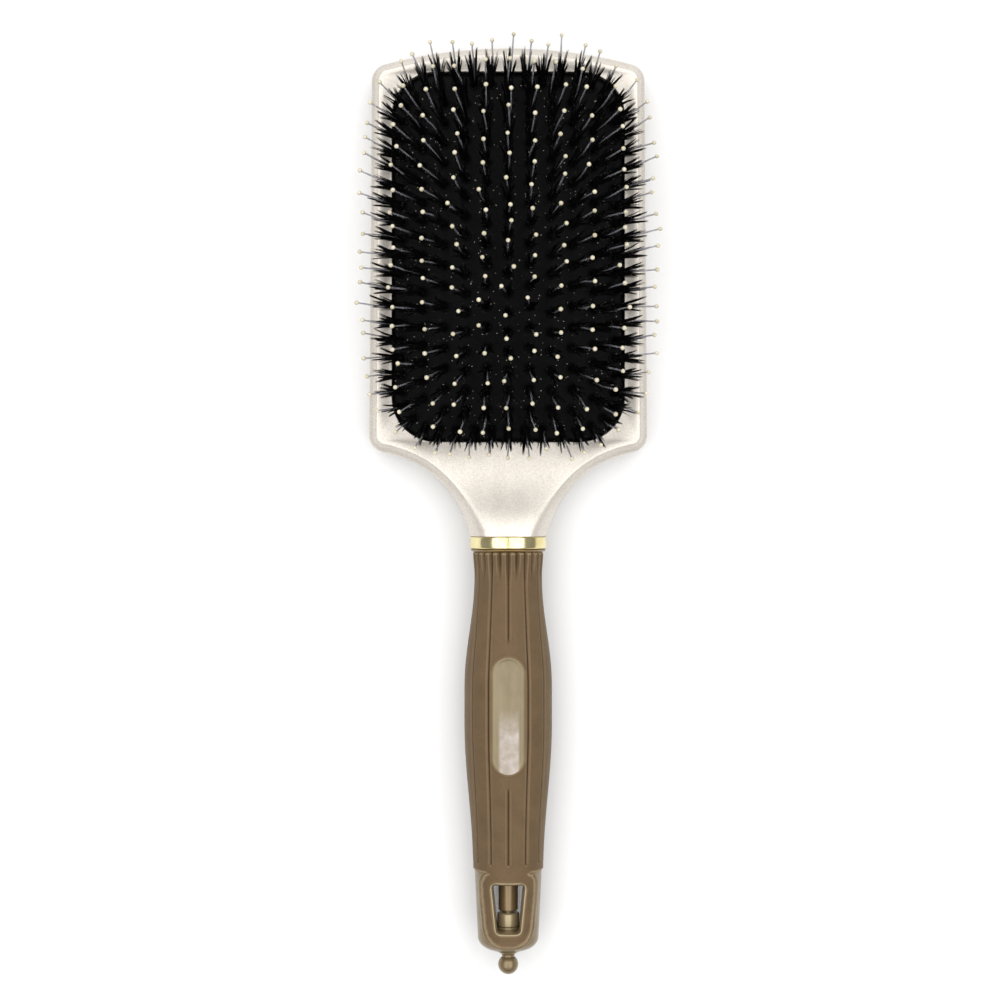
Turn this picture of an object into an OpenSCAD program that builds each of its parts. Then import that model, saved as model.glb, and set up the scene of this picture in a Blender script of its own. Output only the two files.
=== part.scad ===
// Paddle hairbrush with an air cushion, bristle tufts, ball-tipped pins and a pull-out pick.
// The brush lies on its back. The origin is the centre of the paddle's flat back face,
// +Y runs to the top of the head, -Y down the handle and +Z towards the bristle tips.

/* [Paddle] */
// Half width of the paddle at the neck end
head_half_low = 39.1; // [38.5:0.1:39.6]
// Half width of the paddle at the top end
head_half_top = 38.4; // [38:0.1:38.6]
// Distance from the origin to the middle of the top edge
head_top_y = 58.7; // [58:0.1:60]
// Radius of the arched top edge
top_arch_r = 135; // [120:5:160]
// Radius of the paddle's four corners
corner_r = 5; // [4.9:0.1:5.5]
// Thickness of the paddle at its rim
head_t = 15; // [14.5:0.1:15.5]
// Height of the seam between the back shell and the front frame
seam_z = 7; // [6.5:0.1:7]
// Thickness of the back shell's floor
floor_t = 2.4; // [2:0.1:3]

/* [Cushion] */
// Half width of the cushion opening
open_half_x = 32.5; // [32.3:0.1:32.8]
// Half length of the cushion opening
open_half_y = 51.7; // [51.5:0.1:52]
// Corner radius of the cushion opening
open_r = 12.5; // [11.5:0.1:13]
// Height of the membrane's dome above its edge
dome_h = 6.5; // [5:0.1:8]
// Thickness of the membrane
membrane_t = 1.8; // [1.5:0.1:2]

/* [Bristles and pins] */
// Distance between the inner columns of tufts
column_pitch = 5.9; // [5.8:0.05:5.95]
// Half length of the field of tufts
field_half_y = 48.1; // [47.5:0.1:48.3]
// Number of tufts in the middle column
column_tufts = 17; // [15:2:17]
// Number of tufts along each straight side of the border
side_tufts = 17; // [15:1:17]
// Number of tufts along each straight end of the border
end_tufts = 9; // [7:2:9]
// Height of a bristle tuft above the membrane
tuft_h = 15.5; // [12:0.5:17]
// Distance from the membrane to the middle of a pin's ball tip
pin_h = 24; // [20:0.5:25]
// Outward lean of the tufts halfway along the sides, in degrees
lean_x = 27; // [20:1:28]
// Outward lean of the tufts in the middle of the ends, in degrees
lean_y = 20; // [15:0.5:22]

/* [Handle] */
// Radius of the neck's end and of the gold ring
ring_r = 10.8; // [10.5:0.1:11]
// Greatest radius of the grip, which is also the height of the handle's axis
belly_r = 12.2; // [12:0.1:12.5]
// Radius of the grip at its waist
waist_r = 9.4; // [9.2:0.1:9.8]
// Radius of the grip where the soft rubber ends
tail_r = 9.8; // [9.6:0.1:10]

/* [Pick] */
// Radius of the plug that holds the pick in the handle's end
plug_r = 3.1; // [3:0.05:3.1]
// Radius of the pick's ball knob
ball_r = 2.8; // [2.5:0.1:3]
// Greatest radius of the pick's spike
spike_r = 1.4; // [1.2:0.1:1.5]

/* [Hidden] */
COLUMNS = [1, 2, 3, 4, 5, 6, 7, 8, 9];
GROUPS = concat([for (c = COLUMNS) str("col_", c)], ["left", "right", "top", "bottom"]);

pearl = [0.84, 0.80, 0.77];
gold = [0.87, 0.80, 0.50];
bronze = [0.57, 0.51, 0.39];
rubber_brown = [0.46, 0.38, 0.27];
gel = [0.68, 0.64, 0.52];
black = [0.06, 0.06, 0.06];
pin_grey = [0.55, 0.55, 0.60];

// Stations along the handle, as distances from the origin along +Y
neck_end_y = -78;
ring_end_y = -81.5;
flange_end_y = -82.3;
sleeve_end_y = -171.2;
cap_start_y = -189.5;
handle_end_y = -194.2;
tenon_start_y = -72;
tenon_end_y = -100;
axis_z = belly_r;

// The ring's landing and the hip are the two ends of the neck's sweep.
hip = [head_half_low - corner_r + corner_r * sin(12), -54.6];
neck_start_angle = 15.2;
neck_end_angle = 78;
neck_start_arm = 14.3;
neck_end_arm = 12.5;

function mix(a, b, t) = a + (b - a) * t;
function clamp01(t) = min(1, max(0, t));
function smooth(t) = let (u = clamp01(t)) u * u * (3 - 2 * u);
function ease(t) = (1 - cos(180 * clamp01(t))) / 2;

// ---- Outline of the paddle and neck -------------------------------------------------------
// Each outline entry is [x, y, nx, ny]: a point on the right-hand edge and its outward normal.

function bezier(p, t) =
    pow(1 - t, 3) * p[0] + 3 * pow(1 - t, 2) * t * p[1]
    + 3 * (1 - t) * t * t * p[2] + pow(t, 3) * p[3];
function bezier_slope(p, t) =
    3 * pow(1 - t, 2) * (p[1] - p[0]) + 6 * (1 - t) * t * (p[2] - p[1])
    + 3 * t * t * (p[3] - p[2]);

neck_controls = [
    [ring_r, neck_end_y],
    [ring_r, neck_end_y] + neck_start_arm * [sin(neck_start_angle), cos(neck_start_angle)],
    hip - neck_end_arm * [sin(neck_end_angle), cos(neck_end_angle)],
    hip];
function neck_entry(t) =
    let (p = bezier(neck_controls, t), s = bezier_slope(neck_controls, t))
    t == 0 ? [p.x, p.y, 1, 0] : [p.x, p.y, s.y / norm(s), -s.x / norm(s)];
function arc_entry(centre, r, a) =
    [centre.x + r * cos(a), centre.y + r * sin(a), cos(a), sin(a)];

low_corner = [head_half_low - corner_r, hip.y + corner_r * cos(12)];
arch_centre = [0, head_top_y - top_arch_r];
top_corner_x = head_half_top - corner_r;
top_corner = [top_corner_x,
              arch_centre.y + sqrt(pow(top_arch_r - corner_r, 2) - pow(top_corner_x, 2))];
arch_start = acos(top_corner_x / (top_arch_r - corner_r));
arch_end = acos(2 / top_arch_r);
EDGE = concat(
    [for (i = [0:12]) neck_entry(i / 12)],
    [for (i = [1:5]) arc_entry(low_corner, corner_r, -78 + 78 * i / 5)],
    [for (i = [0:5]) arc_entry(top_corner, corner_r, arch_start * i / 5)],
    [for (i = [1:5]) arc_entry(arch_centre, top_arch_r, mix(arch_start, arch_end, i / 5))]);
side_count = len(EDGE);

// The seam and the shell's shape morph from a flat paddle to a round neck.
function roundness(i) = smooth((hip.y - EDGE[i].y) / (hip.y - neck_end_y));
function seam(i) = mix(seam_z, axis_z, roundness(i));

// Height of a shell half at share u of the half width, where the flat paddle has height z.
function shell_z(i, u, z, upper) =
    let (s = roundness(i),
         half_t = mix(upper ? head_t - seam_z : seam_z, ring_r, s),
         arch = seam(i) + (upper ? 1 : -1) * half_t * sqrt(max(0, 1 - u * u)))
    mix(z, arch, s);

// Insets from the edge, with the flat paddle's height at each.
top_insets = [[0, seam_z], [0.2, head_t - 2.5], [0.6, head_t - 1.8], [2.5, head_t],
              [4.8, head_t - 0.9]];
back_insets = [[0, seam_z], [0.2, 4.2], [1, 2], [2.6, 0.5], [4.8, 0]];
row_columns = 8;

function side_ring(inset, upper) = [for (i = [0:side_count - 1])
    let (e = EDGE[i], x = e.x - inset[0] * e[2])
    [x, e.y - inset[0] * e[3],
     inset[0] == 0 ? seam(i) : shell_z(i, x / e.x, inset[1], upper)]];
function mirrored(points) = [for (i = [len(points) - 1:-1:0])
    [-points[i].x, points[i].y, points[i].z]];
function flipped(face) = [for (i = [0:len(face) - 1]) face[(len(face) - i) % len(face)]];
function inner_row(p, i, z, upper) = [for (c = [1:row_columns - 1])
    let (x = p.x * (1 - 2 * c / row_columns))
    [x, p.y, shell_z(i, x / EDGE[i].x, z, upper)]];

// One half of the paddle and neck: rings of points step in from the edge, and rows close the
// face inside the last ring.
module shell_half(insets, upper) {
    m = side_count;
    k_last = len(insets) - 1;
    sides = [for (s = insets) side_ring(s, upper)];
    rings = [for (s = sides) each concat(s, mirrored(s))];
    face_z = insets[k_last][1];
    rows = [for (i = [0:m - 1]) each inner_row(sides[k_last][i], i, face_z, upper)];
    ring_at = function (k, i) k * 2 * m + i;
    row_at = function (i, c)
        c == 0 ? ring_at(k_last, i)
        : c == row_columns ? ring_at(k_last, 2 * m - 1 - i)
        : len(rings) + i * (row_columns - 1) + c - 1;
    quad = function (a, b, c, d) [[a, b, c], [a, c, d]];
    wall = [for (k = [0:k_last - 1], i = [0:2 * m - 2])
        if (k < k_last - 1 || i != m - 1)
            each quad(ring_at(k, i), ring_at(k + 1, i),
                      ring_at(k + 1, i + 1), ring_at(k, i + 1))];
    face = [for (i = [0:m - 2], c = [0:row_columns - 1])
        each quad(row_at(i, c), row_at(i, c + 1), row_at(i + 1, c + 1), row_at(i + 1, c))];
    crown = [concat([ring_at(k_last - 1, m), ring_at(k_last - 1, m - 1)],
                    [for (c = [0:row_columns]) row_at(m - 1, c)])];
    end = [concat([for (k = [0:k_last - 1]) ring_at(k, 2 * m - 1)],
                  [for (c = [row_columns:-1:0]) row_at(0, c)],
                  [for (k = [k_last - 1:-1:0]) ring_at(k, 0)])];
    seam_face = [for (i = [0:m - 2])
        each quad(ring_at(0, i), ring_at(0, i + 1),
                  ring_at(0, 2 * m - 2 - i), ring_at(0, 2 * m - 1 - i))];
    faces = concat(wall, face, crown, end, seam_face);
    polyhedron(
        points = concat(rings, rows),
        faces = upper ? faces : [for (f = faces) flipped(f)]);
}

module rounded_plate(half_x, half_y, r, low_z, high_z) {
    translate([0, 0, low_z])
        linear_extrude(height = high_z - low_z)
            union() {
                square([2 * half_x, 2 * (half_y - r)], center = true);
                square([2 * (half_x - r), 2 * half_y], center = true);
                for (sx = [-1, 1], sy = [-1, 1])
                    translate([sx * (half_x - r), sy * (half_y - r)])
                        circle(r = r, $fn = 96);
            }
}

// A cylinder or cone along the handle's axis, from y_high down to y_low.
module axle(y_high, y_low, r_high, r_low) {
    translate([0, y_high, axis_z])
        rotate([90, 0, 0])
            cylinder(h = y_high - y_low, r1 = r_high, r2 = r_low, $fn = 64);
}

// ---- Paddle -------------------------------------------------------------------------------
flange_w = 2.7;
ledge_z = 11.4;
flange_t = 1.5;
fit_gap = 0.1;
tenon_r = 6.5;

module pocket(grow, low_z, high_z) {
    rounded_plate(open_half_x + grow, open_half_y + grow, open_r + grow, low_z, high_z);
}

module head_back_shell() {
    color(pearl)
        difference() {
            shell_half(back_insets, false);
            pocket(0, floor_t, seam_z + 5);
            axle(tenon_start_y, neck_end_y - 1, tenon_r, tenon_r);
        }
}

module head_front_frame() {
    color(pearl)
        difference() {
            shell_half(top_insets, true);
            pocket(0, 0, head_t + 1);
            pocket(flange_w, 0, ledge_z);
            axle(tenon_start_y, neck_end_y - 1, tenon_r, tenon_r);
        }
}

module pad_retainer() {
    color(black)
        difference() {
            pocket(flange_w - fit_gap, seam_z, ledge_z - flange_t);
            pocket(0, 0, head_t);
        }
}

// ---- Cushion ------------------------------------------------------------------------------
pad_gap = 0.2;
dome_edge_z = 12.9;
pad_half_x = open_half_x - pad_gap;
pad_half_y = open_half_y - pad_gap;

function dome_z(x, y) =
    dome_edge_z + dome_h * (1 - pow(x / pad_half_x, 2)) * (1 - pow(y / pad_half_y, 2));

corner_steps = 8;
pad_shares = [1, 0.92, 0.75, 0.5, 0.25];
function pad_edge() = [for (q = [0:3], i = [0:corner_steps])
    let (a = 90 * q + 90 * i / corner_steps,
         sx = q == 0 || q == 3 ? 1 : -1,
         sy = q < 2 ? 1 : -1)
    [sx * (pad_half_x - open_r) + open_r * cos(a),
     sy * (pad_half_y - open_r) + open_r * sin(a)]];

module dome() {
    edge = pad_edge();
    n = len(edge);
    rings = len(pad_shares);
    layer = function (drop) concat(
        [for (f = pad_shares, p = edge) [f * p.x, f * p.y, dome_z(f * p.x, f * p.y) - drop]],
        [[0, 0, dome_z(0, 0) - drop]]);
    size = rings * n + 1;
    cap = [for (k = [0:rings - 2], i = [0:n - 1])
        let (a = k * n + i, b = k * n + (i + 1) % n)
        each [[a, a + n, b + n], [a, b + n, b]]];
    hub = [for (i = [0:n - 1]) [(rings - 1) * n + i, size - 1, (rings - 1) * n + (i + 1) % n]];
    top = concat(cap, hub);
    under = [for (f = top) [f[2] + size, f[1] + size, f[0] + size]];
    side = [for (i = [0:n - 1])
        let (j = (i + 1) % n)
        each [[i, j, j + size], [i, j + size, i + size]]];
    polyhedron(points = concat(layer(0), layer(membrane_t)),
               faces = concat(top, under, side));
}

module cushion_pad() {
    color(black)
        union() {
            dome();
            difference() {
                pocket(flange_w - fit_gap, ledge_z - flange_t, ledge_z - 0.05);
                pocket(-1.6, 0, head_t);
            }
        }
}

// Places of the tufts and pins: a border that follows the opening's edge, and staggered
// columns inside it.
field_half_x = 5 * column_pitch;
border_r = 10.5;
border_gap = 5.5;
function steps(from, to, n) = [for (i = [0:n]) mix(from, to, i / n)];
function column_reach(x) =
    let (past = max(0, abs(x) - (field_half_x - border_r)))
    field_half_y - border_r + sqrt(pow(border_r - border_gap, 2) - pow(past, 2));
function column_places(c) =
    let (x = (c - 5) * column_pitch)
    [for (s = steps(-1, 1, column_tufts - (c % 2 == 1 ? 1 : 2))) [x, s * column_reach(x)]];
function side_places(side) =
    [for (s = steps(-1, 1, side_tufts - 1))
        [side * field_half_x, s * (field_half_y - border_r)]];
function end_places(side) = concat(
    [for (s = steps(-1, 1, end_tufts - 1))
        [s * (field_half_x - border_r), side * field_half_y]],
    [for (sx = [-1, 1], a = [22.5, 45, 67.5])
        [sx * (field_half_x - border_r + border_r * cos(a)),
         side * (field_half_y - border_r + border_r * sin(a))]]);
PLACES = concat([for (c = COLUMNS) column_places(c)],
                [side_places(-1), side_places(1), end_places(1), end_places(-1)]);

// The lean towards each side grows outwards and fades towards the other sides.
function outward(v, half) = sign(v) * pow(abs(v) / half, 1.5);
module at_tufts(g) {
    for (p = PLACES[g])
        translate([p.x, p.y, dome_z(p.x, p.y)])
            rotate([-lean_y * outward(p.y, field_half_y) * (1 - pow(p.x / open_half_x, 4)), 0, 0])
                rotate([0, lean_x * outward(p.x, field_half_x)
                           * (1 - pow(p.y / open_half_y, 4)), 0])
                    children();
}

anchor_r = 1.6;
anchor_t = 1.4;
pin_r = 0.3;
tuft_foot_r = 0.9;
tuft_head_r = 2;

module tuft_anchors() {
    color(black)
        for (g = [0:len(GROUPS) - 1])
            at_tufts(g)
                translate([0, 0, -membrane_t - anchor_t])
                    cylinder(h = anchor_t, r = anchor_r, $fn = 32);
}

module tufts(g) {
    color(black)
        at_tufts(g)
            difference() {
                translate([0, 0, -0.8])
                    cylinder(h = tuft_h + 0.8, r1 = tuft_foot_r, r2 = tuft_head_r, $fn = 32);
                translate([0, 0, -1])
                    cylinder(h = tuft_h + 2, r = pin_r + 0.15, $fn = 32);
            }
}

module pins(g) {
    foot = membrane_t + 0.7;
    color(pin_grey)
        at_tufts(g)
            union() {
                translate([0, 0, -foot])
                    cylinder(h = pin_h + foot, r = pin_r, $fn = 24);
                translate([0, 0, pin_h])
                    sphere(r = 0.65, $fn = 24);
            }
}

// ---- Handle -------------------------------------------------------------------------------
// Radius of the soft grip at its stations, with an eased curve between them
grip_stations = [[flange_end_y, waist_r + 0.5], [-89.5, waist_r], [-120, belly_r],
                 [-130, belly_r], [sleeve_end_y, tail_r]];
core_end_r = 9.4;
cap_r = 8.5;
sleeve_t = 2.4;
tongue_t = 1.2;

function grip_r(y, k = 0) =
    let (a = grip_stations[k], b = grip_stations[k + 1])
    y >= b[0] || k == len(grip_stations) - 2
        ? mix(a[1], b[1], ease((a[0] - y) / (a[0] - b[0])))
        : grip_r(y, k + 1);
function end_r(y) =
    y > cap_start_y
        ? mix(core_end_r, cap_r, (sleeve_end_y - y) / (sleeve_end_y - cap_start_y))
        : cap_r * pow(1 - pow(clamp01((cap_start_y - y) / (cap_start_y - handle_end_y)), 2.5),
                      0.4);

// A turned solid about the handle's axis from [radius, y] points on one side.
module turned(profile) {
    y_first = profile[0][1];
    y_last = profile[len(profile) - 1][1];
    translate([0, 0, axis_z])
        rotate([-90, 0, 0])
            rotate_extrude($fn = 96)
                polygon(concat([[0, y_first]], profile, [[0, y_last]]));
}

grip_ys = steps(flange_end_y, sleeve_end_y, 30);
cap_ys = concat([sleeve_end_y], steps(cap_start_y, handle_end_y + 0.15, 8), [handle_end_y]);

module grip_form(inward) {
    turned([for (y = grip_ys) [grip_r(y) - inward, y]]);
}

module end_form(inward) {
    turned([for (y = cap_ys)
        [max(0.5, end_r(y) - inward), y == handle_end_y ? y + inward : y]]);
}

// Round-cornered outline through the given corners, in the XY plane.
function rounded(corners, r, n = 5) = [for (i = [0:len(corners) - 1])
    let (p = corners[i],
         a = corners[(i + len(corners) - 1) % len(corners)] - p,
         b = corners[(i + 1) % len(corners)] - p,
         ua = a / norm(a), ub = b / norm(b),
         half = acos(ua * ub) / 2,
         centre = p + (ua + ub) / norm(ua + ub) * r / sin(half),
         from = p + ua * r / tan(half) - centre,
         to = p + ub * r / tan(half) - centre)
    for (s = [0:n]) let (v = mix(from, to, s / n)) centre + v / norm(v) * r];

window_high_y = -174.4;
window_low_y = -187.6;
module window() {
    linear_extrude(height = 3 * axis_z)
        polygon(rounded([[4.45, window_high_y], [-4.45, window_high_y],
                         [-3.05, window_low_y], [3.05, window_low_y]], 0.9));
}

// The rubber tongue runs round the window on the front and the back.
tongue_low_y = -192;
module tongue_form() {
    intersection() {
        difference() {
            end_form(0);
            end_form(tongue_t);
        }
        linear_extrude(height = 3 * axis_z)
            polygon(rounded([[8.1, sleeve_end_y + 2], [-8.1, sleeve_end_y + 2],
                             [-6.2, tongue_low_y], [6.2, tongue_low_y]], 3));
    }
}

core_bore_r = 1.7;
socket_r = 2.7;
socket_high_y = -167;
socket_low_y = -182.7;
spike_tip_y = -108;
running_gap = 0.12;

module handle_core() {
    color(bronze)
        difference() {
            union() {
                axle(ring_end_y, flange_end_y, ring_r, ring_r - 0.6);
                grip_form(sleeve_t);
                end_form(0);
            }
            tongue_form();
            window();
            axle(ring_end_y + 1, tenon_end_y, tenon_r, tenon_r);
            axle(spike_tip_y + 2, window_low_y, core_bore_r, core_bore_r);
            axle(socket_high_y, socket_low_y, socket_r, socket_r);
            axle(plug_high_y, handle_end_y - 1, plug_r + running_gap, plug_r + running_gap);
        }
}

inlay_low_y = -143.5;
inlay_high_y = -111.1;
inlay_half_w = 4.45;
inlay_t = 1.6;
module inlay_prism() {
    translate([0, 0, axis_z])
        linear_extrude(height = 2 * belly_r)
            union() {
                translate([-inlay_half_w, inlay_low_y + inlay_half_w])
                    square([2 * inlay_half_w, inlay_high_y - inlay_low_y - 2 * inlay_half_w]);
                for (y = [inlay_low_y + inlay_half_w, inlay_high_y - inlay_half_w])
                    translate([0, y])
                        circle(r = inlay_half_w, $fn = 48);
            }
}

// Angles of the grip's long grooves from the front, of the short flutes between them at the
// ring, and the lengths that the grooves on the middle line cover
groove_w = 0.7;
groove_depth = 0.45;
groove_high_y = -84;
groove_low_y = -168.2;
flute_low_y = -92;
long_grooves = [28, 58, 90, 122, 152];
flutes = [14, 43, 74, 106, 137, 166];
short_spans = [[groove_high_y, -107.9], [-146.9, groove_low_y]];
module groove(angle, y_high, y_low) {
    translate([0, 0, axis_z])
        rotate([0, angle, 0])
            translate([-groove_w / 2, y_low, 0])
                cube([groove_w, y_high - y_low, 2 * belly_r]);
}

module grooves() {
    intersection() {
        difference() {
            grip_form(-1);
            grip_form(groove_depth);
        }
        union() {
            for (a = long_grooves, side = [-1, 1])
                groove(side * a, groove_high_y, groove_low_y);
            for (a = flutes, side = [-1, 1])
                groove(side * a, groove_high_y, flute_low_y);
            for (span = short_spans, a = [0, 180])
                groove(a, span[0], span[1]);
        }
    }
}

module grip_sleeve() {
    color(rubber_brown)
        difference() {
            union() {
                difference() {
                    grip_form(0);
                    grip_form(sleeve_t);
                }
                tongue_form();
            }
            window();
            grooves();
            intersection() {
                inlay_prism();
                difference() {
                    grip_form(-1);
                    grip_form(inlay_t);
                }
            }
        }
}

module gel_inlay() {
    color(gel)
        intersection() {
            inlay_prism();
            difference() {
                grip_form(0);
                grip_form(inlay_t);
            }
        }
}

module neck_tenon() {
    color(pearl)
        axle(tenon_start_y, tenon_end_y, tenon_r, tenon_r);
}

module gold_ring() {
    color(gold)
        difference() {
            axle(neck_end_y, ring_end_y, ring_r, ring_r);
            axle(neck_end_y + 1, ring_end_y - 1, tenon_r, tenon_r);
        }
}

// ---- Pick ---------------------------------------------------------------------------------
plug_high_y = -183.2;
collar_low_y = -194.9;
collar_r = 2.7;
knob_neck_r = 1.75;
ball_y = -197.8;

module pick_socket() {
    color(bronze)
        difference() {
            axle(socket_high_y, socket_low_y, socket_r, socket_r);
            axle(socket_high_y + 1, socket_low_y - 1, spike_r + 0.2, spike_r + 0.2);
        }
}

module pick_knob() {
    color(bronze)
        difference() {
            union() {
                axle(plug_high_y, handle_end_y, plug_r, plug_r);
                axle(handle_end_y, collar_low_y, collar_r, knob_neck_r);
                axle(collar_low_y, ball_y, knob_neck_r, knob_neck_r);
                translate([0, ball_y, axis_z])
                    sphere(r = ball_r, $fn = 64);
            }
            axle(plug_high_y + 1, plug_high_y - 6, spike_r, spike_r);
        }
}

module pick_spike() {
    color(bronze)
        union() {
            axle(plug_high_y + 10, plug_high_y - 6, spike_r, spike_r);
            axle(spike_tip_y, plug_high_y + 10, 0.4, spike_r);
        }
}

head_back_shell();
head_front_frame();
pad_retainer();
cushion_pad();
tuft_anchors();
neck_tenon();
gold_ring();
handle_core();
grip_sleeve();
gel_inlay();
pick_socket();
pick_knob();
pick_spike();
for (g = [0:len(GROUPS) - 1]) {
    tufts(g);
    pins(g);
}
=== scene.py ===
import math

import bmesh
import bpy
import numpy as np
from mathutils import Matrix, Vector
from mathutils.geometry import delaunay_2d_cdt


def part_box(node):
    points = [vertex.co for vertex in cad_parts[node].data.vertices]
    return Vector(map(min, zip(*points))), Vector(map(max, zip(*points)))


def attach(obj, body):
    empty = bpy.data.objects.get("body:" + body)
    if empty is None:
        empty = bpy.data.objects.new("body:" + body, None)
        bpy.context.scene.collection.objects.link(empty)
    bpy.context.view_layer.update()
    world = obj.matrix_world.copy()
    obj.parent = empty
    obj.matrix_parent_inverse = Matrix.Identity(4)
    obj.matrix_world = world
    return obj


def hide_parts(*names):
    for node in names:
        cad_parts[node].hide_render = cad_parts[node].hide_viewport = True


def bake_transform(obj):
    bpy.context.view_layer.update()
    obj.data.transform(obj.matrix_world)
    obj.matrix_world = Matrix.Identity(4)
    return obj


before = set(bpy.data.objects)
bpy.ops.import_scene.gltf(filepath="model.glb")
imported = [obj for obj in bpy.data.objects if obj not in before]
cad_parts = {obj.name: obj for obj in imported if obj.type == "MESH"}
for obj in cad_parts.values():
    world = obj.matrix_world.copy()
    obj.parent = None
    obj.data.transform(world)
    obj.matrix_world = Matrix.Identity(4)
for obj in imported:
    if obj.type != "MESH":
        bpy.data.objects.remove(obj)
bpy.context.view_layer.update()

MM = 0.001


# ---- Driving dimensions, in millimetres ----

def node_mm(name):
    """Lowest and highest corner of a CAD node, in millimetres."""
    low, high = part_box(name)
    return np.array(low) / MM, np.array(high) / MM


frame_low, frame_high = node_mm("head_front_frame")
ring_low, ring_high = node_mm("gold_ring")
_, sleeve_high = node_mm("grip_sleeve")
core_low, _ = node_mm("handle_core")
knob_low, knob_high = node_mm("pick_knob")
socket_low, socket_high = node_mm("pick_socket")
inlay_low, inlay_high = node_mm("gel_inlay")
spike_low, spike_high = node_mm("pick_spike")

HEAD_HALF_LOW = frame_high[0]
HEAD_HALF_TOP = HEAD_HALF_LOW - 0.7
HEAD_TOP_Y = frame_high[1]
HEAD_T = 15.0
SEAM_Z = frame_low[2]
NECK_END_Y = frame_low[1]
TOP_ARCH_R = 135.0
CORNER_R = 5.0
HIP_TURN = math.radians(12)
HIP = np.array([HEAD_HALF_LOW - CORNER_R + CORNER_R * math.sin(HIP_TURN), -54.6])
# The neck's sweep leaves the ring and reaches the hip at these angles, with these arms.
RING_ANGLE, RING_ARM = math.radians(15.2), 14.3
HIP_ANGLE, HIP_ARM = math.radians(78), 12.5

AXIS_Z = (ring_low[2] + ring_high[2]) / 2
RING_R = ring_high[0]
RING_END_Y = ring_low[1]
FLANGE_END_Y = RING_END_Y - 0.8
BELLY_R = sleeve_high[0]
WAIST_R = 9.4
TAIL_R = 9.8
SLEEVE_END_Y = -171.2
CAP_START_Y = -189.5
HANDLE_END_Y = core_low[1]
CORE_END_R = 9.4
CAP_R = 8.5

OPEN_X = 32.5
OPEN_Y = 51.7
OPEN_R = 12.5
LEDGE_Z = 11.4
PAD_X = OPEN_X - 0.2
PAD_Y = OPEN_Y - 0.2
DOME_EDGE_Z = 12.9
DOME_H = 6.5
MEMBRANE_T = 1.8

COLUMN_PITCH = 5.9
COLUMN_TUFTS = 17
FIELD_X = 5 * COLUMN_PITCH
FIELD_Y = 48.1
BORDER_R = 10.5
BORDER_GAP = 5.5
SIDE_TUFTS = 17
END_TUFTS = 9
LEAN_X = 27.0
LEAN_Y = 20.0
TUFT_H = 15.5
PIN_H = 24.0
BALL_R = 0.62

PLUG_R = knob_high[0]
PLUG_TOP_Y = knob_high[1]
KNOB_BALL_R = 2.8
KNOB_BALL_Y = knob_low[1] + KNOB_BALL_R
COLLAR_R = 2.7
KNOB_NECK_R = 1.75


# ---- Small maths ----

def mix(a, b, t):
    return a + (b - a) * t


def smooth(t):
    t = np.clip(t, 0.0, 1.0)
    return t * t * (3 - 2 * t)


def ease(t):
    return (1 - np.cos(np.pi * np.clip(t, 0.0, 1.0))) / 2


def bump(x, width):
    return np.exp(-((x / width) ** 2))


def bezier(controls, t):
    t = np.asarray(t)[:, None]
    p = np.asarray(controls)
    return ((1 - t) ** 3 * p[0] + 3 * (1 - t) ** 2 * t * p[1]
            + 3 * (1 - t) * t ** 2 * p[2] + t ** 3 * p[3])


def arc(centre, r, start, end, n=60):
    a = np.radians(np.linspace(start, end, n))
    return np.column_stack([centre[0] + r * np.cos(a), centre[1] + r * np.sin(a)])


def turn(n, start=0.0):
    """n angles evenly round a full turn."""
    return np.linspace(start, start + 2 * np.pi, n, endpoint=False)


def resample(path, n, closed_end=False):
    """n points evenly along a path; the path's end is left out unless closed_end."""
    path = np.asarray(path, float)
    run = np.concatenate([[0], np.cumsum(np.linalg.norm(np.diff(path, axis=0), axis=1))])
    s = np.linspace(0, run[-1], n, endpoint=closed_end)
    return np.column_stack([np.interp(s, run, path[:, k]) for k in range(path.shape[1])])


def loop_normals(loop):
    """Outward unit normals of a closed counter-clockwise loop."""
    d = np.roll(loop, -1, axis=0) - np.roll(loop, 1, axis=0)
    n = np.column_stack([d[:, 1], -d[:, 0]])
    return n / np.linalg.norm(n, axis=1)[:, None]


def inside(points, loop):
    """Which points lie inside a closed loop."""
    x, y = points[:, 0][:, None], points[:, 1][:, None]
    a, b = loop, np.roll(loop, -1, axis=0)
    crosses = (a[:, 1] > y) != (b[:, 1] > y)
    slope = (b[:, 0] - a[:, 0]) / np.where(b[:, 1] == a[:, 1], 1e-9, b[:, 1] - a[:, 1])
    return (np.sum(crosses & (x < a[:, 0] + (y - a[:, 1]) * slope), axis=1) % 2) == 1


def depth_inside(points, loop):
    """Signed distance to a closed loop, positive inside."""
    out = np.empty(len(points))
    a, b = loop, np.roll(loop, -1, axis=0)
    ab = b - a
    for start in range(0, len(points), 4000):
        p = points[start:start + 4000, None, :]
        t = np.clip(np.sum((p - a) * ab, axis=2) / np.sum(ab * ab, axis=1), 0, 1)
        out[start:start + 4000] = np.min(np.linalg.norm(p - a - t[..., None] * ab, axis=2), axis=1)
    return np.where(inside(points, loop), out, -out)


# ---- Materials ----

def linear(*colour):
    """A colour as seen, turned into the linear values that shaders take."""
    return [c / 12.92 if c <= 0.04045 else ((c + 0.055) / 1.055) ** 2.4 for c in colour] + [1.0]


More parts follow.
